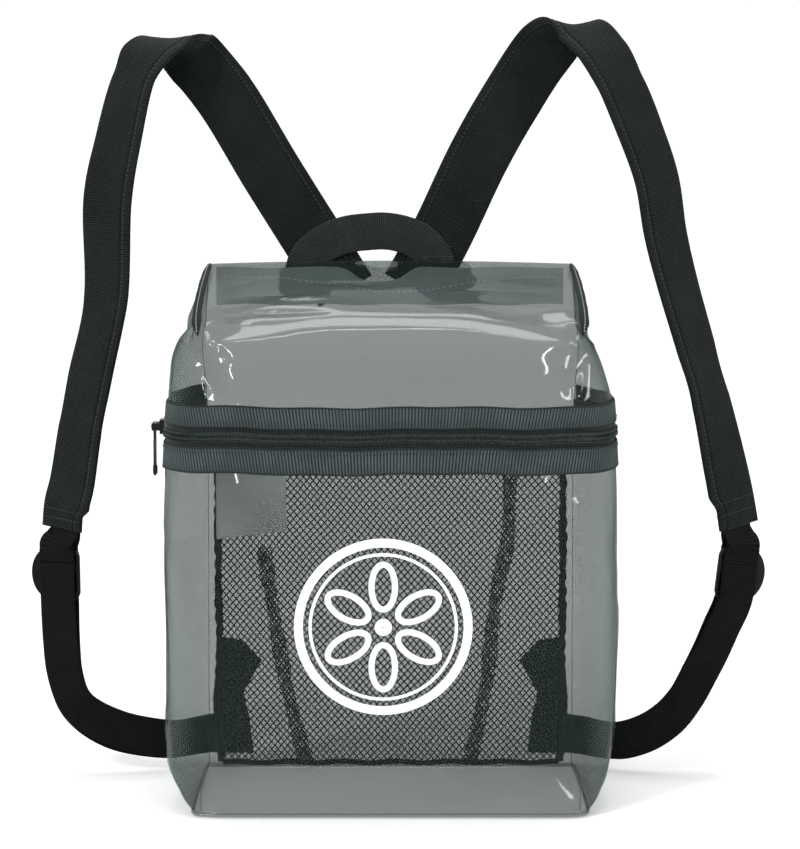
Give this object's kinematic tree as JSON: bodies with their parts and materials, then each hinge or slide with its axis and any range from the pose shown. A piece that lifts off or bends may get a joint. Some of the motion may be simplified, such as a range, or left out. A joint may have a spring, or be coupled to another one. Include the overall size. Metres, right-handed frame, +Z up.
{
  "type": "clear stadium backpack",
  "caption": "See-through smoke-tinted vinyl backpack with a wrap-round zip, mesh back lining, carrying handle and two adjustable webbing shoulder straps",
  "frame": {"origin": "midway between the crests of the two shoulder straps, where the wearer's shoulders carry the bag", "axes": "+Z up, -Y the front of the bag, +X to the right as seen from the front"},
  "size_m": [0.4389, 0.1435, 0.4491],
  "materials": {
    "vinyl": "clear smoke-tinted vinyl sheet, glossy, soft creases",
    "binding": "ribbed slate-grey binding tape",
    "webbing": "dark grey woven webbing",
    "lining": "black diamond net",
    "zip": "black coil zip",
    "zip_metal": "black enamelled slider and pull",
    "plastic": "black moulded strap slider",
    "label": "blank woven label"
  },
  "bodies": {
    "bag": {"lower_wall": "vinyl", "hood_sheet": "vinyl", "floor_sheet": "vinyl", "back_sheet": "vinyl", "zip_binding_upper": "binding", "zip_binding_lower": "binding", "zip_tape": "binding", "zip_coil": "zip", "zip_slider": "zip_metal", "mesh_lining": "lining", "blank_label": "label", "top_band": "binding", "handle": "webbing", "seam_tape_left": "binding", "seam_tape_right": "binding", "corner_patch_left": "webbing", "corner_patch_right": "webbing", "shoulder_strap_left": "webbing", "shoulder_strap_right": "webbing", "strap_tail_left": "webbing", "strap_tail_right": "webbing", "strap_slider_left": "plastic", "strap_slider_right": "plastic", "lower_webbing_left": "webbing", "lower_webbing_right": "webbing"},
    "pull": {"zip_pull": "zip_metal"}
  },
  "joints": [
    {"name": "pull_swing", "type": "hinge", "parent": "bag", "child": "pull", "pos_m": [-0.13501, -0.06101, -0.21555], "axis": [0, 1, 0], "range_deg": [0, 150]}
  ]
}
